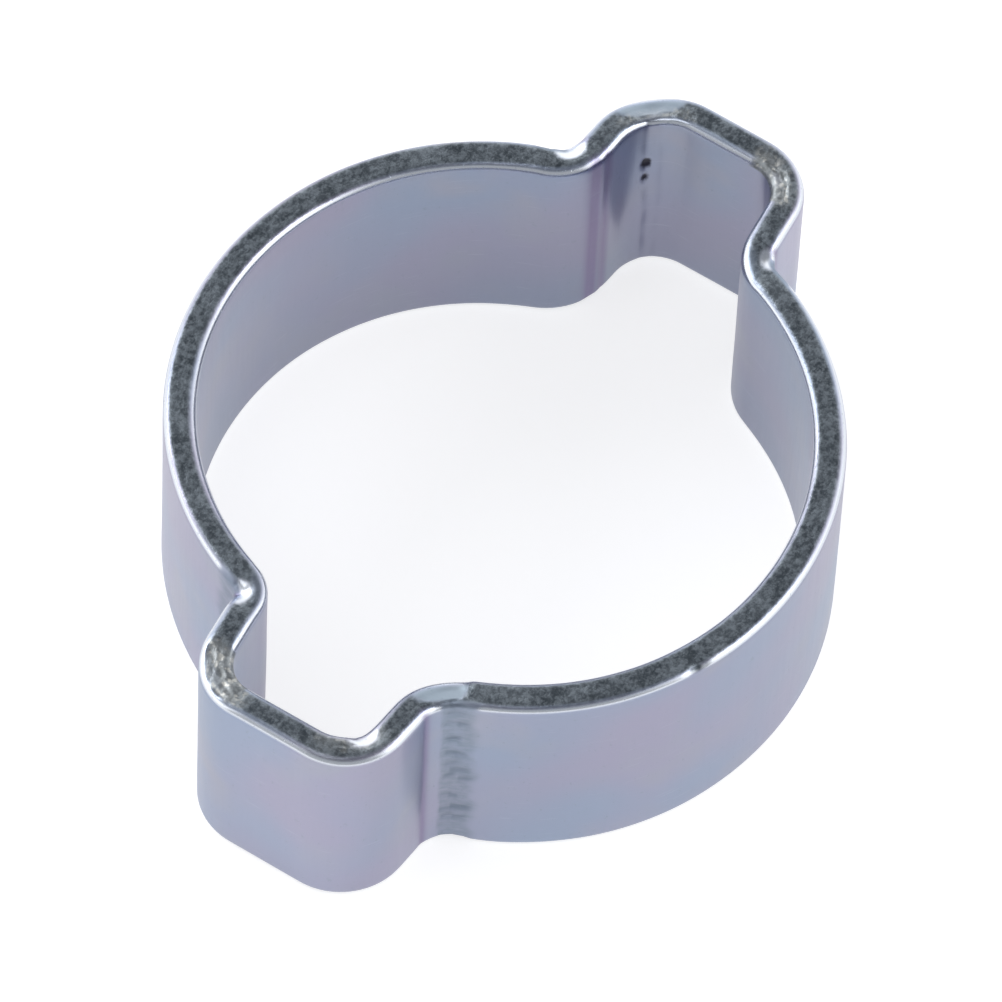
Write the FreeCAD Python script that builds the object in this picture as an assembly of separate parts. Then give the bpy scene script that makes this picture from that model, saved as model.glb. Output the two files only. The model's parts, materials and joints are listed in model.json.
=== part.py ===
import FreeCAD, Part
import math
import os

# Two-ear hose clamp: one closed steel band that stands on its cut edge.
# All lengths are millimetres and all angles are degrees.
# The bore axis is Z, the lower cut edge lies on z = 0 and the two ears point along +X and -X.

# The strip
bore_r = 9.0        # inside radius of the ring, which seats on the hose
strip_t = 1.0       # wall thickness, the same all round
strip_w = 7.8       # length of tube the band was cut to, along the bore axis
edge_r = 0.15       # rounding that tumbling leaves on the four rims of the cut edges

# The ears
ear_h = 2.5         # how far an ear's crown stands out from the ring's outside
ear_w = 6.3         # outside width of an ear, measured where flank and crown would meet
ear_lean = 5.0      # how far each flank leans in towards the crown
foot_r = 1.15       # outside radius of the bend where a flank leaves the ring
corner_r = 1.0      # inside radius of the bend between flank and crown

X_AXIS = FreeCAD.Vector(1, 0, 0)
Y_AXIS = FreeCAD.Vector(0, 1, 0)
Z_AXIS = FreeCAD.Vector(0, 0, 1)

# Middle line of the wall, one quarter of it
# The ring, the foot bend, the flank, the corner bend and the crown run into each other
# tangentially. Both skins of the wall are this line moved out and in by half the thickness,
# so they share its centres and the wall keeps one thickness round every bend.
half_t = strip_t / 2
ring_mid_r = bore_r + half_t
foot_mid_r = foot_r + half_t
corner_mid_r = corner_r + half_t
lean = math.radians(ear_lean)
flank_out = FreeCAD.Vector(math.sin(lean), math.cos(lean), 0)
flank_up = FreeCAD.Vector(math.cos(lean), -math.sin(lean), 0)

# Sharp corner where the middle lines of flank and crown would cross
skin_corner = FreeCAD.Vector(bore_r + strip_t + ear_h, ear_w / 2, 0)
flank_run = (half_t * flank_out.x - half_t) / flank_up.x
mid_corner = skin_corner - flank_out * half_t + flank_up * flank_run

# Centre of the corner bend, touching flank and crown
corner_set_back = corner_mid_r * math.tan((math.pi / 2 - lean) / 2)
corner_c = mid_corner - flank_up * corner_set_back - flank_out * corner_mid_r

# Centre of the foot bend, outside the wall, touching the flank and the ring
foot_line = mid_corner + flank_out * foot_mid_r
along = foot_line.dot(flank_up)
reach_sq = (ring_mid_r + foot_mid_r) ** 2
foot_c = foot_line + flank_up * (math.sqrt(along ** 2 - foot_line.dot(foot_line) + reach_sq) - along)
ring_end = FreeCAD.Vector(foot_c).normalize()


def turned(a, b):
    """Unit vector halfway between two unit vectors."""
    return (a + b).normalize()


def mirrored(point, sx, sy):
    """The same point in another quarter of the ring."""
    return FreeCAD.Vector(sx * point.x, sy * point.y, 0)


def quarter_points(out):
    """Joints and arc middles of one quarter of a skin that lies `out` from the middle line."""
    corner = corner_mid_r + out
    foot = foot_mid_r - out
    return {
        "crown": corner_c + X_AXIS * corner,
        "corner_mid": corner_c + turned(X_AXIS, flank_out) * corner,
        "flank_top": corner_c + flank_out * corner,
        "flank_foot": foot_c - flank_out * foot,
        "foot_mid": foot_c - turned(flank_out, ring_end) * foot,
        "ring_end": foot_c - ring_end * foot,
    }


def skin(out):
    """Closed outline of the whole band, `out` from the middle line."""
    quarter = quarter_points(out)

    def at(name, sx, sy):
        return mirrored(quarter[name], sx, sy)

    edges = []
    for sx, sy in ((1, 1), (-1, -1)):
        # Round one half: up the ear's near side, over the ring, down to the next ear
        edges.append(Part.LineSegment(at("crown", sx, -sy), at("crown", sx, sy)))
        edges.append(Part.Arc(at("crown", sx, sy), at("corner_mid", sx, sy), at("flank_top", sx, sy)))
        edges.append(Part.LineSegment(at("flank_top", sx, sy), at("flank_foot", sx, sy)))
        edges.append(Part.Arc(at("flank_foot", sx, sy), at("foot_mid", sx, sy), at("ring_end", sx, sy)))
        side = Y_AXIS * (sy * (ring_mid_r + out))
        edges.append(Part.Arc(at("ring_end", sx, sy), side, at("ring_end", -sx, sy)))
        edges.append(Part.Arc(at("ring_end", -sx, sy), at("foot_mid", -sx, sy), at("flank_foot", -sx, sy)))
        edges.append(Part.LineSegment(at("flank_foot", -sx, sy), at("flank_top", -sx, sy)))
        edges.append(Part.Arc(at("flank_top", -sx, sy), at("corner_mid", -sx, sy), at("crown", -sx, sy)))
    return Part.Wire([edge.toShape() for edge in edges])


# The band: the section between the two skins, drawn out to the strip's width
section = Part.makeFace([skin(half_t), skin(-half_t)], "Part::FaceMakerBullseye")
band = section.extrude(Z_AXIS * strip_w)

# Rounded rims: where both skins meet both cut edges
rims = [edge for edge in band.Edges if edge.BoundBox.ZLength < edge_r]
band = band.makeFillet(edge_r, rims)

os.makedirs("parts", exist_ok=True)
band.Solids[0].exportStep("parts/band.step")

print("solids", len(band.Solids), "valid", band.isValid(), "volume mm3", round(band.Volume, 2))
print("size mm", [round(v, 3) for v in (band.BoundBox.XLength, band.BoundBox.YLength, band.BoundBox.ZLength)])
print("foot bend ends", round(math.degrees(math.atan2(ring_end.y, ring_end.x)), 2), "degrees from the ear")
print("ear section: corner centre", corner_c, "foot centre", foot_c)
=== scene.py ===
# %% [markdown]
# # A two-ear hose clamp
#
# The real clamp is one closed band of zinc-plated steel: a short slice cut from a tube, with two
# opposite ears pressed out of it. Pincers squeeze the ears and so tighten the ring on a hose.
# The CAD frame gives the band's sizes. This script dresses it: the same band, drawn in beside its
# ears as forming leaves it, with rims worn round by tumbling, cut edges that bending distorts, the
# bite marks of the forming jaws, and a zinc finish whose thin passivate film shifts between steel
# blue and lilac.
#
# The frame is loaded first. Every number below is in metres, and MM turns millimetres into them.

# %% Load the frame
import json
import math
import random

import bpy
import numpy as np
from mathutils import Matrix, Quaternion, Vector, noise


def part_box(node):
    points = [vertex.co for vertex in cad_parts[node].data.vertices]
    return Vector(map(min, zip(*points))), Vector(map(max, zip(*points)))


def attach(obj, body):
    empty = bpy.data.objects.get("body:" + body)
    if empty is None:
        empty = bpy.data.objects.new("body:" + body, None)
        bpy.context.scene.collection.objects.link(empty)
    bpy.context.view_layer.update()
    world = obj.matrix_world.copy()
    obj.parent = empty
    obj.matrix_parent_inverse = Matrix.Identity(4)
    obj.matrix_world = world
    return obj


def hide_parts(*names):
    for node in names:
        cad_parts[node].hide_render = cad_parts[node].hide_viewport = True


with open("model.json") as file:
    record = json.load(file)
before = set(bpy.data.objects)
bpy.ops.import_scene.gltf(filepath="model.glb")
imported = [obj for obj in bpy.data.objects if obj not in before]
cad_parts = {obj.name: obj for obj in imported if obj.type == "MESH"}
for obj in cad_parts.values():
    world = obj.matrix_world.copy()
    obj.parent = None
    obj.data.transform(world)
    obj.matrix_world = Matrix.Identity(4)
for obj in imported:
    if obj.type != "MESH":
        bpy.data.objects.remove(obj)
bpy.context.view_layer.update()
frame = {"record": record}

MM = 0.001
random.seed(7)

low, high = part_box("band")
mounts = {mount["name"]: mount for mount in frame["record"]["mounts"]}
print("band from", tuple(round(c / MM, 2) for c in low), "to", tuple(round(c / MM, 2) for c in high), "mm")

# %% [markdown]
# ## The middle line of the wall
#
# A band bent from strip keeps one wall thickness, so its shape is all in one line: the middle of
# the wall, seen from above. A modeller could draw it as a Bezier curve, but the real line is
# made of arcs and straights that run into each other, and the same few sizes that set them in
# the CAD set them here. Points in the plane are complex numbers: x + 1j * y. Turning one by an
# angle is then a multiplication, and mirroring is a change of sign.

# %% Sizes of the band
bore_r = mounts["hose_bore"]["dims"]["r_mm"] * MM
ring_out = high.y
wall = ring_out - bore_r
half = wall / 2
strip_w = high.z - low.z
crown_x = high.x - half

ear_w = 6.3 * MM
ear_lean = math.radians(5.0)
corner_r = 1.0 * MM + half
foot_r = 1.15 * MM + half

# Forming an ear draws the ring in beside it: each half of the ring is an arc a little tighter than
# the bore, with its centre this far off the bore axis
draw_in = 0.6 * MM
ring_r = bore_r + half - draw_in

print("wall", round(wall / MM, 3), "mm, strip", round(strip_w / MM, 2), "mm wide")


# %% [markdown]
# Each run of the line is a list of stations. A station knows its place, the direction that points
# out of the wall, how sharply the line bends there, and how far along the run it lies. Runs that
# matter to the eye, the bends and the marked stretch beside each foot, get closer stations than
# the long plain arcs, so that the mesh spends its faces where there is something to show.

# %% Runs of the middle line
FLANK_UP = complex(math.cos(ear_lean), -math.sin(ear_lean))
FLANK_OUT = 1j * FLANK_UP
MARKED = 1.7 * MM       # length of the marked stretch beside each foot
GAP = {"crown": 0.22 * MM, "corner": 0.10 * MM, "flank": 0.15 * MM,
       "foot": 0.09 * MM, "beside": 0.075 * MM, "ring": 0.21 * MM}      # from station to station


def dot(a, b):
    """Dot product of two plane vectors held as complex numbers."""
    return (a * b.conjugate()).real


def straight(start, end, out, step):
    """Stations along a straight run."""
    count = max(2, round(abs(end - start) / step))
    t = np.linspace(0, 1, count + 1)
    return start + (end - start) * t, np.full(count + 1, out), np.zeros(count + 1), abs(end - start) * t


def arc(centre, radius, a0, a1, step, bulge):
    """Stations along an arc from angle a0 to a1. bulge is 1 where the outside is convex, else -1."""
    count = max(3, round(abs(a1 - a0) * radius / step))
    angle = np.linspace(a0, a1, count + 1)
    ray = np.exp(1j * angle)
    return centre + radius * ray, bulge * ray, np.full(count + 1, bulge / radius), abs(angle - a0) * radius


def quarter(corner_r, foot_r):
    """The line from the middle of an ear's crown to the side of the ring, as named runs."""
    skin_corner = crown_x + half + 1j * ear_w / 2
    to_middle = (half * FLANK_OUT.real - half) / FLANK_UP.real
    sharp = skin_corner - FLANK_OUT * half + FLANK_UP * to_middle
    set_back = corner_r * math.tan((math.pi / 2 - ear_lean) / 2)
    corner_c = sharp - FLANK_UP * set_back - FLANK_OUT * corner_r
    ring_c = 1j * draw_in
    foot_line = sharp + FLANK_OUT * foot_r - ring_c
    along = dot(foot_line, FLANK_UP)
    reach = math.sqrt(along ** 2 - abs(foot_line) ** 2 + (ring_r + foot_r) ** 2)
    foot_c = ring_c + foot_line + FLANK_UP * (reach - along)
    ring_ray = (foot_c - ring_c) / abs(foot_c - ring_c)
    flank_angle, ring_angle = np.angle(FLANK_OUT), np.angle(ring_ray)
    flank_top, flank_foot = corner_c + FLANK_OUT * corner_r, foot_c - FLANK_OUT * foot_r
    marked = MARKED / ring_r
    return {
        "crown": straight(crown_x + 0j, crown_x + 1j * corner_c.imag, 1 + 0j, GAP["crown"]),
        "corner": arc(corner_c, corner_r, 0, flank_angle, GAP["corner"], 1),
        "flank": straight(flank_top, flank_foot, FLANK_OUT, GAP["flank"]),
        "foot": arc(foot_c, foot_r, flank_angle - math.pi, ring_angle - math.pi, GAP["foot"], -1),
        "beside": arc(ring_c, ring_r, ring_angle, ring_angle + marked, GAP["beside"], 1),
        "ring": arc(ring_c, ring_r, ring_angle + marked, math.pi / 2, GAP["ring"], 1),
    }


# %% [markdown]
# The four quarters are mirror images, apart from small accidents of forming. Two corners of the
# real clamp were pressed over a blunter edge and two feet over sharper ones, so the tables give
# them their own radii. A quarter is known by its signs: on which side of x and y it lies.

# %% Stations all round the band
EAR_RUNS = ("crown", "corner", "flank", "foot")
corner_radii = {(1, 1): 1.45 * MM + half, (-1, 1): corner_r, (-1, -1): 1.2 * MM + half, (1, -1): corner_r}
foot_radii = {(1, 1): foot_r, (-1, 1): 0.35 * MM + half, (-1, -1): foot_r, (1, -1): 0.85 * MM + half}
stations = {"place": [], "out": [], "bend": [], "foot": [], "corner": [], "sx": [], "sy": []}
foot_len = {}
for sx, sy in ((1, 1), (-1, 1), (-1, -1), (1, -1)):
    runs = quarter(corner_radii[sx, sy], foot_radii[sx, sy])
    lengths = {name: run[3][-1] for name, run in runs.items()}
    foot_len[sx, sy] = lengths["foot"]
    walked = 0.0
    rows = []
    for name, (place, out, bend, far) in runs.items():
        from_foot_end = walked + far - sum(lengths[ear_run] for ear_run in EAR_RUNS)
        from_corner_mid = walked + far - lengths["crown"] - lengths["corner"] / 2
        run_rows = list(zip(place, out, bend, from_foot_end, from_corner_mid))
        rows += run_rows[:-1]
        walked += lengths[name]
    rows.append(run_rows[-1])
    if sx * sy < 0:
        rows.reverse()
    for place, out, bend, from_foot, from_corner in rows[:-1]:
        stations["place"].append(complex(sx * place.real, sy * place.imag))
        stations["out"].append(complex(sx * out.real, sy * out.imag))
        stations["bend"].append(bend)
        stations["foot"].append(from_foot)
        stations["corner"].append(from_corner)
        stations["sx"].append(sx)
        stations["sy"].append(sy)
stations = {key: np.array(values) for key, values in stations.items()}
place, out = stations["place"], stations["out"]
step = np.abs(np.roll(place, -1) - place)
print(len(place), "stations round", round(step.sum() / MM, 1), "mm, closest", round(step.min() / MM, 3),
      "mm, widest", round(step.max() / MM, 3), "mm")


# %% [markdown]
# ## The section of the wall
#
# The section is a slim rectangle with rounded corners. Each of its points is held as a place
# between two corner centres and a direction: move that far between the centres, then one rim
# radius in that direction. So the rim radius can change from station to station, and the
# same direction says which way a relief pushes the surface.

# %% Points round the section
def section_points(skin_rows, rim_rows, face_rows):
    """Arrays of (centre across, centre up, direction across, direction up), anticlockwise."""
    corners = [(1, 1, 0.0), (-1, 1, 90.0), (-1, 0, 180.0), (1, 0, 270.0)]
    points = []
    for i, (across, up, start) in enumerate(corners):
        for k in range(rim_rows + 1):
            angle = math.radians(start + 90.0 * k / rim_rows)
            points.append((across, up, math.cos(angle), math.sin(angle)))
        next_across, next_up, _ = corners[(i + 1) % 4]
        rows = face_rows if across != next_across else skin_rows[0 if across < 0 else 1]
        for k in range(1, rows):
            t = k / rows
            between = (across + (next_across - across) * t, up + (next_up - up) * t)
            points.append((*between, *points[-1][2:]))
    return np.array(points).T


SKIN_ROWS = (52, 84)            # on the inner and on the outer skin
RIM_ROWS, FACE_ROWS = 7, 10
centre_across, centre_up, dir_across, dir_up = section_points(SKIN_ROWS, RIM_ROWS, FACE_ROWS)
print(len(centre_across), "points round the section,",
      2 * len(centre_across) * len(place), "triangles in the band")

# %% [markdown]
# ## What bending does to a cut edge
#
# Where strip is bent, the skin on the outside of the bend is stretched and the skin on the inside
# is squeezed. Stretched steel gets narrower, so the cut edge is drawn in there and its face
# leans over into a smooth pale facet. On the squeezed side the forming tool rode over the edge and
# left a short polished slope, the spot that glints beside an ear. The bend of the line, smoothed
# along the band because steel can't change its strain from one point to the next, drives both.

# %% Strain from the bend of the line
STRAIN_SPREAD = 0.40 * MM
along = np.concatenate([[0], np.cumsum(step)[:-1]])
total = step.sum()


def bell(x):
    """1 at nought, falling softly to 0 within about two on both sides."""
    return np.exp(-x ** 2)


def smoothstep(lo, hi, x):
    """0 below lo, 1 above hi, and a soft slope between."""
    t = np.clip((x - lo) / (hi - lo), 0, 1)
    return t * t * (3 - 2 * t)


def smoothed(values, width):
    """values averaged along the band with a soft window, round the closed loop."""
    gap = np.abs(along[:, None] - along[None, :])
    gap = np.minimum(gap, total - gap)
    weight = bell(gap / width) * step[None, :]
    return (weight * values[None, :]).sum(1) / weight.sum(1)


strain = smoothed(stations["bend"] * half, STRAIN_SPREAD) - half / ring_r
bent = smoothstep(0.03, 0.24, np.abs(strain))[:, None]
print("strain at the skins from", round(strain.min(), 3), "to", round(strain.max(), 3),
      "and", round(float((bent > 0.5).mean()), 2), "of the stations count as bent")

# %% [markdown]
# The rims are rounder on the ears, which knock against other clamps in the tumbling drum, than on
# the ring between them, and on the ring they wore rounder in two places: inside its left and
# outside its right, as the camera sees it. The plain cut faces lie a little inside the box that the
# CAD gives, so that the grain of the faces stays in it. No two bends came out the same: the tables
# give for each quarter how far its corner and its foot were drawn in, how strong the polished slope
# is, and how far each is shifted along the band.

# %% Rounded section at every station
RING_RIM_R, EAR_RIM_R = 0.26 * MM, 0.33 * MM
WORN = {"inside": (math.radians(125), 0.13 * MM), "outside": (math.radians(-50), 0.09 * MM)}
WORN_SPREAD = math.radians(34)
EAR_ENDS = (-0.6 * MM, 1.2 * MM)                # past a foot, where the ear's rounder rims run out
ROOM_TOP, ROOM_FLOOR = 0.035 * MM, 0.02 * MM    # from the box to the plain cut faces
DRAWN_IN, SLOPED = 0.28 * MM, 0.22 * MM         # how far the two sides of a bend's cut edge go down
EDGE_REACH = 0.5 * MM                           # how far down the skin that is felt
DRAWN_LENGTH, SLOPE_LENGTH = 0.85 * MM, 0.50 * MM       # how far along the band each of them reaches
FLOOR_SHARE = 0.6                               # the lower cut edge moves less than the upper one
DRAWN = {(1, 1): (1.0, 0.25), (-1, 1): (0.5, 0.3), (-1, -1): (0.15, 1.0), (1, -1): (0.2, 0.35)}
DRAWN_SHIFT = {(1, 1): (0, 0), (-1, 1): (0, 0), (-1, -1): (0, 0.40 * MM), (1, -1): (0, 0)}
POLISHED_SLOPE = {(1, 1): (0.3, 1.0), (-1, 1): (0.0, 1.0), (-1, -1): (0.9, 0.2), (1, -1): (0.3, 0.6)}
SLOPE_SHIFT = {(1, 1): (0, 0), (-1, 1): (0, -0.20 * MM), (-1, -1): (0.40 * MM, 0), (1, -1): (0, 0)}
foot_middle = np.array([-foot_len[signs] / 2 for signs in zip(stations["sx"], stations["sy"])])


def of_bend(table):
    """The table's value at every station: the corner's where the outside is convex, else the foot's."""
    pairs = np.array([table[signs] for signs in zip(stations["sx"], stations["sy"])])
    return np.where(strain > 0, pairs[:, 0], pairs[:, 1])[:, None]


def worn_extra(angle, extra):
    """How much rounder a rim is at each station, most at the given angle round the ring."""
    turn = np.angle(place * np.exp(-1j * angle))[:, None]
    return extra * bell(turn / WORN_SPREAD)


def rounded_section():
    """Place across the wall, height, and the share drawn in and sloped, station by section point."""
    in_ear = 1 - smoothstep(*EAR_ENDS, stations["foot"])[:, None]
    worn_inside = worn_extra(*WORN["inside"]) * (1 - centre_across) / 2
    worn_outside = worn_extra(*WORN["outside"]) * (1 + centre_across) / 2
    rim = RING_RIM_R + (EAR_RIM_R - RING_RIM_R) * in_ear + (worn_inside + worn_outside) * (1 - in_ear)
    base, top = ROOM_FLOOR + 0 * rim, strip_w - ROOM_TOP + 0 * rim
    across = centre_across * (half - rim) + rim * dir_across
    up = base + rim + centre_up * (top - base - 2 * rim) + rim * dir_up
    side = np.sign(strain)[:, None] * across / half
    from_middle = np.where(strain > 0, stations["corner"], stations["foot"] - foot_middle)[:, None]
    drawn = bell((from_middle - of_bend(DRAWN_SHIFT)) / DRAWN_LENGTH) * smoothstep(-1.2, 0.6, side)
    sloped = bell((from_middle - of_bend(SLOPE_SHIFT)) / SLOPE_LENGTH) * smoothstep(-0.45, 0.8, -side)
    drawn, sloped = drawn * bent * of_bend(DRAWN), sloped * bent * of_bend(POLISHED_SLOPE)
    near_top = np.exp(-(top - up) / EDGE_REACH)
    near_floor = np.exp(-(up - base) / EDGE_REACH)
    down = DRAWN_IN * drawn + SLOPED * sloped
    return across, up - down * near_top + FLOOR_SHARE * down * near_floor, drawn, sloped


across, up, drawn, sloped = rounded_section()
cut_face = smoothstep(0.80, 0.99, np.abs(dir_up))[None, :] + 0 * up
print("top edge between", round(up.max(1).min() / MM, 3), "and", round(up.max() / MM, 3), "mm")

# %% [markdown]
# ## Reliefs: marks that have real depth
#
# The jaws that formed the ears held the ring beside each foot and bit into it. They left a dull
# patch across the strip, with short uneven strokes in it. Inside an ear's corners the squeezed
# steel folded into fine vertical creases. All of it is a few hundredths of a millimetre deep.
# These marks are pressed into the mesh, because a bump map alone would vanish in raking light.
# Each relief also gives a mask, which the material uses to dull or darken the same spot.

# %% Bite marks of the forming jaws
BITES = 10
BITE_DEPTH = 0.034 * MM
PATCH_START, PATCH_END = -0.80 * MM, 0.50 * MM      # along the band, from the end of the foot's bend
from_foot = stations["foot"][:, None]
outer_skin = np.clip(dir_across, 0, 1)[None, :]
inner_skin = np.clip(-dir_across, 0, 1)[None, :]


def quarter_mask(sx, sy):
    """1 at the stations of one quarter of the band."""
    return ((stations["sx"] == sx) & (stations["sy"] == sy))[:, None]


def bite_marks(sx, sy):
    """Depth of the strokes beside one foot, their mask, and the mask of the dull patch they lie in."""
    here = quarter_mask(sx, sy) * smoothstep(0.15, 0.6, outer_skin)
    first = PATCH_START + random.uniform(-0.05, 0.05) * MM
    last = PATCH_END + random.uniform(-0.1, 0.1) * MM
    ragged = last + 0.07 * MM * np.sin(up / (0.31 * MM) + 5 * sx)
    ragged = ragged + 0.05 * MM * np.sin(up / (0.13 * MM) + 3 * sy)
    patch = smoothstep(first - 0.04 * MM, first + 0.10 * MM, from_foot - 0.3 * (ragged - last))
    patch = patch * (1 - smoothstep(ragged - 0.25 * MM, ragged + 0.15 * MM, from_foot))
    depth = 0.25 * BITE_DEPTH * patch
    strokes = np.zeros_like(up)
    pitch = strip_w / BITES
    for k in range(BITES):
        for part in range(2):
            middle = (k + 0.5 + random.uniform(-0.35, 0.35)) * pitch
            slant = random.uniform(-0.12, 0.15) if k > BITES / 2 else random.uniform(0.0, 0.35)
            start = first + random.uniform(0.0, 0.2) * MM + part * random.uniform(0.3, 0.6) * MM
            length = random.uniform(0.5, 0.95) * MM
            width = random.uniform(0.11, 0.20) * MM
            bow = random.uniform(-0.06, 0.06) * MM * np.sin(math.pi * (from_foot - start) / length)
            off = (up - middle - bow - slant * (from_foot - start)) / width
            window = smoothstep(start, start + 0.1 * MM, from_foot) * patch
            window = window * (1 - smoothstep(start + 0.6 * length, start + length, from_foot))
            stroke = bell(off) - 0.15 * bell((np.abs(off) - 1.7) / 0.6)
            depth = depth + stroke * window * BITE_DEPTH * random.uniform(0.4, 1.0)
            strokes = strokes + (1 - strokes) * bell(off) * window * random.uniform(0.3, 1.0)
    return depth * here, strokes * here, patch * here


pressed = np.zeros_like(up)
strokes, patches = np.zeros_like(up), np.zeros_like(up)
for sx, sy in corner_radii:
    depth, stroke_mask, patch_mask = bite_marks(sx, sy)
    pressed += depth
    strokes = np.maximum(strokes, stroke_mask)
    patches = np.maximum(patches, patch_mask)
print("deepest bite", round(pressed.max() / MM, 3), "mm")

# %% [markdown]
# The creases inside the ears wander a little, so the line they follow is bent by slow waves along
# the height. One ear has two small pits in its crease, where the fold opened. A broader fold runs
# down each foot, on the outside where it leaves the ear, and inside one ear beside its foot.

# %% Creases and folds
CREASE_DEPTH, PIT_DEPTH, FOLD_DEPTH = 0.030 * MM, 0.06 * MM, 0.018 * MM
from_corner = stations["corner"][:, None]
creased, folded = np.zeros_like(up), np.zeros_like(up)

# For each corner its creases: millimetres from the middle of the bend, and strength
CREASES = {(1, 1): ((0.25, 0.9), (-0.30, 0.25)), (1, -1): ((0.15, 0.5), (-0.35, 0.3)),
           (-1, 1): ((0.0, 0.5),), (-1, -1): ((0.1, 0.5),)}
for quarter_signs, lines in CREASES.items():
    for offset, strength in lines:
        seed = 3.7 * len(lines) + 2.9 * offset + quarter_signs[1]
        wander = 0.05 * MM * np.sin(up / (1.3 * MM) + seed) + 0.02 * MM * np.sin(up / (0.37 * MM) + seed)
        broken = 0.5 + 0.3 * np.sin(up / (0.9 * MM) + 2 * seed) + 0.2 * np.sin(up / (0.21 * MM) + 3 * seed)
        line = bell((from_corner - offset * MM - wander) / (0.11 * MM))
        creased = np.maximum(creased, strength * line * broken * quarter_mask(*quarter_signs) * inner_skin)

# The pits lie in the first crease of one corner. They are balls in a space squashed along Z
PITS = ((0.705, 0.19 * MM), (0.605, 0.14 * MM))    # share of the height, radius
PIT_OFFSET, PIT_SQUASH = 0.25 * MM, 0.6
pits = np.zeros_like(up)
for height, radius in PITS:
    far = np.hypot(from_corner - PIT_OFFSET, (up - height * strip_w) * PIT_SQUASH)
    pits = np.maximum(pits, np.exp(-(far / radius) ** 4) * quarter_mask(1, 1) * inner_skin)
pitted = np.flatnonzero(quarter_mask(1, 1))
pit_station = pitted[np.argmin(np.abs(stations["corner"][pitted] - PIT_OFFSET))]
pit_spot = place[pit_station] - out[pit_station] * half
pit_places = [(pit_spot.real, pit_spot.imag, height * strip_w * PIT_SQUASH) for height, _ in PITS]

# Folds: one outside each foot, two inside the foot of the pitted ear
for sx, sy in corner_radii:
    line = bell((from_foot + foot_len[sx, sy] - 0.25 * MM) / (0.20 * MM))
    folded = np.maximum(folded, line * quarter_mask(sx, sy) * outer_skin)
for offset, width in ((0.45, 0.18), (0.10, 0.11)):
    line = bell((from_foot + foot_len[1, 1] - offset * MM) / (width * MM))
    folded = np.maximum(folded, 1.4 * line * quarter_mask(1, 1) * inner_skin)
pressed += CREASE_DEPTH * creased + PIT_DEPTH * pits + FOLD_DEPTH * folded
print("creased share of the inside", round(float((creased > 0.3).mean()), 4))

# %% [markdown]
# The last reliefs are a nick that another clamp left in one rim while they tumbled together, slow
# waves in both skins, and the grain of the cut face, which is sheared metal and not a rolled skin.
# The facets of the bends are smooth. At the corners the sheared face crumpled, on some more than
# on others.

# %% Nick, waves and grain
NICK_ANGLE = math.radians(-113.5)
NICK_SIZE, NICK_DEPTH = 0.22 * MM, 0.16 * MM
WAVE_DEPTH, GRAIN_DEPTH, LUMP_DEPTH = 0.010 * MM, 0.010 * MM, 0.012 * MM
notch = (ring_out - draw_in * 0.1) * np.exp(1j * NICK_ANGLE)
to_nick = np.abs(place[:, None] + out[:, None] * across - notch)
nick = bell(to_nick / NICK_SIZE) * bell((strip_w - up) / (0.25 * MM))
pressed += NICK_DEPTH * nick


def fractal(points, size, octaves, seed):
    """Soft noise from about -1 to 1 at each point, with lumps of the given size."""
    shift = Vector((seed * 7.3, seed * 3.1, seed * 5.7))
    return np.array([noise.fractal(Vector(p) / size + shift, 1.0, 2.0, octaves) for p in points])


def positions():
    """Vertex places in the row frame."""
    move = across - pressed * dir_across[None, :]
    height = up - pressed * dir_up[None, :]
    plan = place[:, None] + out[:, None] * move
    return np.stack([plan.real, plan.imag, height], axis=-1).reshape(-1, 3)


points = positions()
waves = fractal(points, 3.5 * MM, 2, 1).reshape(up.shape)
grain = fractal(points, 0.15 * MM, 3, 2).reshape(up.shape)
lumps = fractal(points, 0.7 * MM, 2, 3).reshape(up.shape)

# How crumpled each corner is, on its stretched and on its squeezed side
CRUMPLES = {(-1, 1): (1.0, 1.0), (1, -1): (0.2, 1.4), (1, 1): (0.0, 0.6), (-1, -1): (0.1, 0.7)}
crumpled = np.zeros_like(up)
for quarter_signs, (on_stretched, on_squeezed) in CRUMPLES.items():
    at_corner = quarter_mask(*quarter_signs) * bent * (strain[:, None] > 0)
    toward_out = smoothstep(-0.5, 0.5, across / half)
    crumpled += at_corner * (on_squeezed + (on_stretched - on_squeezed) * toward_out)
smooth_facet = np.clip(smoothstep(0.20, 0.40, drawn + 0.08 * lumps) - 0.8 * crumpled, 0, 1)
glint = smoothstep(0.12, 0.40, sloped)
sheared = cut_face * (1 - smooth_facet) * (1 - glint)
pressed += WAVE_DEPTH * waves * (1 - cut_face)
folds = np.abs(fractal(points, 0.34 * MM, 3, 4)).reshape(up.shape)
pressed += sheared * (GRAIN_DEPTH * grain + LUMP_DEPTH * lumps + crumpled * 0.10 * MM * folds)
points = positions()
for axis in range(3):
    points[:, axis] = np.clip(points[:, axis], low[axis], high[axis])
print("sheared share", round(float(sheared.mean()), 3),
      "smooth facets", round(float((smooth_facet * cut_face).mean()), 3))

# %% [markdown]
# ## The mesh
#
# The grid of stations and section points closes on itself both ways, like a tube bent into a
# ring, so it needs no caps and has no seam. Masks travel with it as attributes: numbers stored on
# each vertex that the material reads by name.

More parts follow.
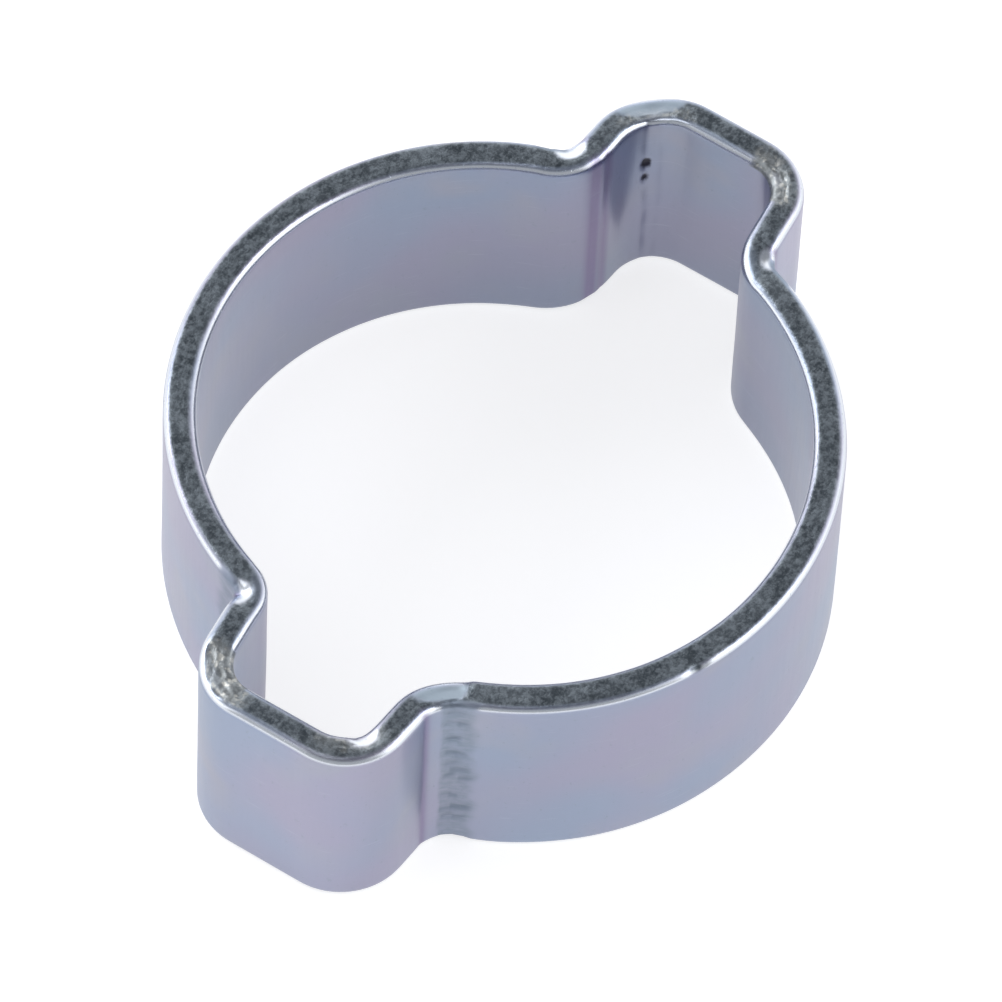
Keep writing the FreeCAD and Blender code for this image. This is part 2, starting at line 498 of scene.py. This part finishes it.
# %% Build the band
def closed_grid(name, points, rows, columns):
    """A mesh object from a grid of vertices that closes on itself both ways."""
    index = np.arange(rows * columns).reshape(rows, columns)
    next_row, next_column = np.roll(index, -1, 0), np.roll(index, -1, 1)
    quads = np.stack([index, next_row, np.roll(next_row, -1, 1), next_column], -1).reshape(-1, 4)
    mesh = bpy.data.meshes.new(name)
    mesh.vertices.add(len(points))
    mesh.vertices.foreach_set("co", points.astype(np.float32).ravel())
    mesh.loops.add(quads.size)
    mesh.loops.foreach_set("vertex_index", quads.ravel().astype(np.int32))
    mesh.polygons.add(len(quads))
    mesh.polygons.foreach_set("loop_start", np.arange(0, quads.size, 4, dtype=np.int32))
    mesh.polygons.foreach_set("use_smooth", np.ones(len(quads), dtype=bool))
    mesh.update(calc_edges=True)
    mesh.validate()
    obj = bpy.data.objects.new(name, mesh)
    bpy.context.collection.objects.link(obj)
    return obj


def paint(obj, name, values):
    """Stores one number per vertex under a name."""
    attribute = obj.data.attributes.new(name, "FLOAT", "POINT")
    attribute.data.foreach_set("value", np.asarray(values, dtype=np.float32).ravel())


band = closed_grid("Band", points, *up.shape)
rim = np.clip(1 - np.abs(np.abs(dir_up) - 0.55) / 0.45, 0, 1)[None, :] + 0 * up
dulled = smoothstep(0.65, 0.95, crumpled) * np.clip(-3 * dir_across, 0, 1) * (np.abs(dir_up) > 0.2)
rim = rim * (1 - 0.95 * dulled) * (1 - 0.9 * patches)
masks = {
    "sheared": np.maximum(sheared, dulled),
    "facet": smooth_facet * cut_face,
    "glint": glint * cut_face,
    "rim": rim,
    "patch": patches,
    "stroke": strokes,
    "crease": creased,
    "fold": folded,
    "nick": nick,
    "crumple": crumpled * np.maximum(cut_face, dulled),
    "inside": inner_skin + 0 * up,
}
for name, values in masks.items():
    paint(band, name, np.clip(values, 0, 1))
print("band mesh:", len(band.data.vertices), "vertices,", len(band.data.polygons), "quads")

# %% [markdown]
# ## A short way to write shaders
#
# A material is a network of nodes. Wiring them one at a time hides the idea, so the class below
# wraps one output socket and lets plain Python sums add the Math nodes: `1 - mask` is a node
# too. Colours and vectors go through Mix and Vector Math, because Math would turn a colour grey.

# %% The Wire class
class Wire:
    """One output socket of a node tree. Sums and calls on it add nodes and return a new Wire."""

    def __init__(self, tree, socket=None):
        self.tree, self.socket = tree, socket

    def node(self, kind, settings=None, inputs=None, output=0):
        """Adds a node of a type, sets it up, then fills its sockets with values or wires."""
        node = self.tree.nodes.new(kind)
        for name, value in (settings or {}).items():
            setattr(node, name, value)
        for name, value in (inputs or {}).items():
            if isinstance(value, Wire):
                self.tree.links.new(value.socket, node.inputs[name])
            else:
                node.inputs[name].default_value = value
        return Wire(self.tree, node.outputs[output]) if node.outputs else None

    def sum(self, operation, a, b):
        """One Math node fed by two wires or numbers."""
        return self.node("ShaderNodeMath", {"operation": operation}, {0: a, 1: b})

    def __add__(self, other):
        return self.sum("ADD", self, other)

    def __sub__(self, other):
        return self.sum("SUBTRACT", self, other)

    def __rsub__(self, other):
        return self.sum("SUBTRACT", other, self)

    def __mul__(self, other):
        return self.sum("MULTIPLY", self, other)

    __radd__, __rmul__ = __add__, __mul__

    def slope(self, low, high):
        """0 where this is below low, 1 above high, and a soft slope between."""
        return self.node("ShaderNodeMapRange", {"interpolation_type": "SMOOTHSTEP"},
                         {"Value": self, "From Min": low, "From Max": high})

    def mix(self, a, b):
        """Colour a where this is 0 and colour b where it is 1."""
        a, b = (colour if isinstance(colour, Wire) else (*colour, 1.0) for colour in (a, b))
        return self.node("ShaderNodeMix", {"data_type": "RGBA"}, {0: self, 6: a, 7: b}, output=2)

    def stretched(self, x, y, z):
        """A place multiplied along each axis, to draw a pattern out or squeeze it."""
        return self.node("ShaderNodeVectorMath", {"operation": "MULTIPLY"}, {0: self, 1: (x, y, z)})

    def moved(self, x, y, z):
        """A place shifted, to choose another stretch of the same pattern."""
        return self.node("ShaderNodeVectorMath", {"operation": "ADD"}, {0: self, 1: (x, y, z)})

    def clouds(self, size, detail=2.0, roughness=0.5):
        """Noise from 0 to 1 at this place, with lumps of the given size."""
        return self.node("ShaderNodeTexNoise", inputs={
            "Vector": self, "Scale": 1 / size, "Detail": detail, "Roughness": roughness})


def new_material(name):
    """An empty material and a Wire that adds nodes to it."""
    material = bpy.data.materials.new(name)
    material.use_nodes = True
    material.node_tree.nodes.clear()
    return material, Wire(material.node_tree)


# %% [markdown]
# ## The zinc finish
#
# Bright zinc with a clear passivate is a metal whose thin film tints what it reflects: steel blue
# in one place, lilac in another, in clouds a few millimetres across. Under it the rolled skin of
# the strip keeps fine streaks. The sheared cut face took the same zinc but is rough and
# crystalline, so it looks dark and speckled, while the tumbled rims are the brightest metal of all.
#
# One metal shader carries all of this. What changes from place to place is only its colour, its
# roughness and the bump that tilts its surface. The colours are laid over one another, each through
# a mask, in the order in which the real surface got them, with painted shade and painted glints laid
# in among them: first the film on the skins.

# %% Film on the skins
zinc, sheet = new_material("Zinc plated steel")
place_on_band = sheet.node("ShaderNodeTexCoord", output="Object")
mask = {name: sheet.node("ShaderNodeAttribute", {"attribute_name": name}, output="Fac") for name in masks}

STEEL_BLUE = (0.37, 0.435, 0.57)
LILAC = (0.43, 0.42, 0.55)
SILVER = (0.43, 0.445, 0.535)
INSIDE_LOW_SHADE = (0.27, 0.285, 0.375)     # painted shade low inside the ring, where the inner wall mirrors the shaded floor

film_place = place_on_band.moved(73 * MM, 19 * MM, 30 * MM)
tint = film_place.clouds(5.0 * MM, 1.0).slope(0.30, 0.68)
silvering = film_place.clouds(2.7 * MM, 2.0).slope(0.45, 0.80)
film = silvering.mix(tint.mix(STEEL_BLUE, LILAC), SILVER)
height_on_band = sheet.node("ShaderNodeSeparateXYZ", inputs={0: place_on_band}, output="Z")
# Painted shade: the inner skin is darkened towards its lower edge
shade_low_down = 1 - height_on_band.slope(-2.0 * MM, strip_w)
film = (shade_low_down * mask["inside"] * 0.7).mix(film, INSIDE_LOW_SHADE)
print("film:", len(zinc.node_tree.nodes), "nodes so far")

# %% [markdown]
# The sheared face is dark with pale crystals, and a slow blotchiness under them. Where bending
# smoothed it, it is pale and even, where bending crumpled it, it is paler and bright flecks are
# painted on it as glints, and the rims are polished nearly white.

# %% Cut faces and rims
CUT_GREY = (0.29, 0.33, 0.37)
CUT_DARK = (0.075, 0.09, 0.105)
FACET = (0.28, 0.34, 0.40)
CRUMPLED = (0.64, 0.64, 0.61)
POLISHED = (0.80, 0.84, 0.90)

speckle = place_on_band.clouds(0.16 * MM, 3.0, 0.7).slope(0.34, 0.70)
blotch = place_on_band.clouds(0.8 * MM, 2.0).slope(0.35, 0.7)
raw = (speckle * 0.7 + blotch * 0.3).mix(CUT_DARK, CUT_GREY)
colour = mask["sheared"].mix(film, raw)
colour = (mask["facet"] * 0.9).mix(colour, FACET)
# Painted glints: bright flecks on the crumpled corners, over their paler metal
painted_glints = place_on_band.clouds(0.22 * MM, 2.0).slope(0.52, 0.66)
colour = (mask["crumple"] * (0.25 + painted_glints * 0.6)).mix(colour, CRUMPLED)
colour = mask["glint"].mix(colour, POLISHED)
colour = mask["rim"].slope(0.25, 0.85).mix(colour, POLISHED)

# %% [markdown]
# Marks come next. The bitten patch is dull and scuffed, with darker strokes in it. A fold, a
# crease and a pit are painted darker as shade in their hollows: the fold dark violet, the crease
# darker, the pit nearly black. The nick is painted with the darkest cut colour as shade in its
# notch. The pits are balls in space, made ragged by noise, and taller than wide because the fold
# pulled them open along its length.

# %% Marks
BITTEN = (0.25, 0.31, 0.37)
STROKE = (0.15, 0.20, 0.26)
# Painted shade: colours that darken a fold, a crease and a pit as the shade in their hollows
FOLD_SHADE = (0.22, 0.15, 0.32)
CREASE_SHADE = (0.10, 0.11, 0.20)
PIT_SHADE = (0.015, 0.015, 0.03)

scuff = place_on_band.stretched(1, 1, 2.5).clouds(0.35 * MM, 3.0, 0.6).slope(0.3, 0.7)
colour = (mask["patch"] * (0.30 + scuff * 0.35)).mix(colour, BITTEN)
colour = (mask["stroke"] * 0.70).mix(colour, STROKE)
# Painted shade in the folds and creases
colour = (mask["fold"] * 0.6).mix(colour, FOLD_SHADE)
colour = (mask["crease"] * 0.6).mix(colour, CREASE_SHADE)
ragged = place_on_band.clouds(0.16 * MM, 2.0) * 0.10 * MM
squashed = place_on_band.stretched(1, 1, PIT_SQUASH)
# Painted shade: each pit is painted nearly black
for pit_place, (_, radius) in zip(pit_places, PITS):
    far = sheet.node("ShaderNodeVectorMath", {"operation": "DISTANCE"},
                     {0: squashed, 1: pit_place}, output="Value")
    colour = (1 - (far + ragged).slope(radius - 0.03 * MM, radius + 0.07 * MM)).mix(colour, PIT_SHADE)
# Painted shade: the nick is darkened with the darkest cut colour, as the shade in its notch
colour = mask["nick"].slope(0.15, 0.6).mix(colour, CUT_DARK)

# %% [markdown]
# Last come the accidents of handling: fine pores, a few larger specks where the film is thin, and
# hair scratches that run round the band, as other clamps slid past it in the drum.

# %% Specks and scratches
pores = place_on_band.clouds(0.11 * MM, 2.0).slope(0.66, 0.74)
scratches = place_on_band.stretched(0.05, 0.05, 1).clouds(0.06 * MM, 1.0).slope(0.68, 0.76)
specks = place_on_band.clouds(0.45 * MM, 3.0, 0.7).slope(0.66, 0.76)
colour = (specks * (1 - mask["sheared"]) * 0.30).mix(colour, BITTEN)
colour = (pores * (1 - mask["sheared"]) * 0.30).mix(colour, BITTEN)
colour = (scratches * (1 - mask["sheared"]) * 0.10).mix(colour, POLISHED)

# %% [markdown]
# Drawing the tube left fine streaks along its axis, and zinc keeps them. They make the skin a little
# rougher in one line than in the next and stand about a hundredth of a millimetre proud, which is
# too fine for the mesh, so a Bump node tilts the surface instead. Cut faces and bite marks scatter
# more light than the skins, and the tumbled rims less.

# %% Roughness and bump of the zinc
streaks = place_on_band.stretched(1, 1, 0.06).clouds(0.14 * MM, 2.0, 0.6)
roughness = 0.27 + streaks * 0.08 + mask["sheared"] * 0.14 + mask["patch"] * 0.10 - mask["rim"] * 0.10
relief = streaks * (1 - mask["sheared"]) * 0.25 + speckle * mask["sheared"] - pores * 0.5
grain_bump = sheet.node("ShaderNodeBump", inputs={
    "Strength": 0.5, "Distance": 0.012 * MM, "Height": relief})
metal = sheet.node("ShaderNodeBsdfPrincipled", inputs={
    "Base Color": colour, "Metallic": 1.0, "Roughness": roughness, "Normal": grain_bump})
sheet.node("ShaderNodeOutputMaterial", inputs={"Surface": metal})
band.data.materials.append(zinc)

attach(band, "root")
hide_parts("band")
print("zinc:", len(zinc.node_tree.nodes), "nodes")

# %% [markdown]
# ## Floor, room light and camera
#
# Metal looks like what stands round it, so the room matters as much as the finish. The walls of
# the clamp mirror the pale floor, the rims mirror the bright lower part of the room, and the cut
# face mirrors the ceiling.
#
# The floor is matt paper that keeps the clamp's shadow. A glow that only the camera and mirror
# rays see lifts it towards white. Each kind of ray gets its own share, because the metal should
# mirror a floor that is less bright than the page it is shown on.

# %% Floor
def floor_sheet(size):
    """A flat square at the height of the band's lower edge."""
    mesh = bpy.data.meshes.new("Floor")
    corners = [(-size, -size, 0), (size, -size, 0), (size, size, 0), (-size, size, 0)]
    mesh.from_pydata(corners, [], [(0, 1, 2, 3)])
    obj = bpy.data.objects.new("Floor", mesh)
    bpy.context.collection.objects.link(obj)
    return obj


SEEN_GLOW, MIRRORED_GLOW = 0.72, 0.53
floor = floor_sheet(3.0)
paper, sheet = new_material("White paper")
seen = sheet.node("ShaderNodeLightPath", output="Is Camera Ray")
mirrored = sheet.node("ShaderNodeLightPath", output="Is Glossy Ray")
matt = sheet.node("ShaderNodeBsdfDiffuse", inputs={"Color": (0.52, 0.52, 0.53, 1)})
glow = sheet.node("ShaderNodeEmission", inputs={
    "Color": (1, 1, 1, 1), "Strength": seen * SEEN_GLOW + mirrored * MIRRORED_GLOW})
surface = sheet.node("ShaderNodeAddShader", inputs={0: matt, 1: glow})
sheet.node("ShaderNodeOutputMaterial", inputs={"Surface": surface})
floor.data.materials.append(paper)

# %% [markdown]
# The room is bright up to the height of a window and dim above, which makes the cut face dark
# against white rims. One side has a wall in place of windows: rims that face it are soft and dull,
# as they are on the real clamp. Three soft lamps give the floor its light and the metal its shape.

# %% Room light
world = bpy.data.worlds.new("Room")
world.use_nodes = True
world.node_tree.nodes.clear()
bpy.context.scene.world = world
room = Wire(world.node_tree)
direction = room.node("ShaderNodeTexCoord", output="Generated")
height = room.node("ShaderNodeSeparateXYZ", inputs={0: direction}, output="Z")
CEILING, WINDOWS, DARK_WALL = (0.18, 0.19, 0.21), (1.35, 1.35, 1.35), (0.40, 0.41, 0.43)
DIM_SIDE = math.radians(-154)                  # where the wall without a window stands, seen from above
toward_dim_wall = room.node("ShaderNodeVectorMath", {"operation": "DOT_PRODUCT"}, {
    0: direction, 1: (math.cos(DIM_SIDE), math.sin(DIM_SIDE), 0.0)}, output="Value")
walls = toward_dim_wall.slope(0.46, 0.70).mix(WINDOWS, DARK_WALL)
brightness = height.slope(0.50, 0.78).mix(walls, CEILING)
background = room.node("ShaderNodeBackground", inputs={"Color": brightness, "Strength": 1.0})
room.node("ShaderNodeOutputWorld", inputs={"Surface": background})


LAMP_DISTANCE, LAMP_SIZE = 1.0, 0.5


def toward(azimuth, elevation):
    """The direction from the clamp to a place, in degrees round it and above it."""
    a, e = math.radians(azimuth), math.radians(elevation)
    return Vector((math.sin(a) * math.cos(e), -math.cos(a) * math.cos(e), math.sin(e)))


def softbox(name, azimuth, elevation, watts):
    """A square area lamp that looks at the clamp from the given side."""
    lamp = bpy.data.lights.new(name, "AREA")
    lamp.shape, lamp.size, lamp.energy = "SQUARE", LAMP_SIZE, watts
    obj = bpy.data.objects.new(name, lamp)
    back = toward(azimuth, elevation)
    obj.location = back * LAMP_DISTANCE
    obj.rotation_euler = back.to_track_quat("Z", "Y").to_euler()
    bpy.context.collection.objects.link(obj)


softbox("Key softbox", -182.5, 36, 3.0)
softbox("Fill softbox", 17.5, 34, 1.8)
softbox("Overhead softbox", -107.5, 72, 1.2)

# %% [markdown]
# ## Camera
#
# The clamp is seen from high above one ear, about as one looks at a small part on a bench, with
# the camera held a little askew. The long lens keeps the ring's far side almost as wide as its near
# side.

# %% Camera
VIEW_AZIMUTH, VIEW_ELEVATION, VIEW_ROLL = -60.0, 58.8, 3.0
VIEW_DISTANCE = 0.378
FOCAL_LENGTH, SENSOR_WIDTH = 465, 36            # in millimetres, as camera data hold them
back = toward(VIEW_AZIMUTH, VIEW_ELEVATION)
aim = Vector((0, 0, strip_w * 0.42))
lens = bpy.data.cameras.new("Camera")
lens.lens, lens.sensor_width = FOCAL_LENGTH, SENSOR_WIDTH
camera = bpy.data.objects.new("Camera", lens)
camera.location = aim + back * VIEW_DISTANCE
upright = back.to_track_quat("Z", "Y")
camera.rotation_euler = (upright @ Quaternion((0, 0, 1), math.radians(VIEW_ROLL))).to_euler()
bpy.context.collection.objects.link(camera)
bpy.context.scene.camera = camera
bpy.context.scene.view_settings.view_transform = "Standard"
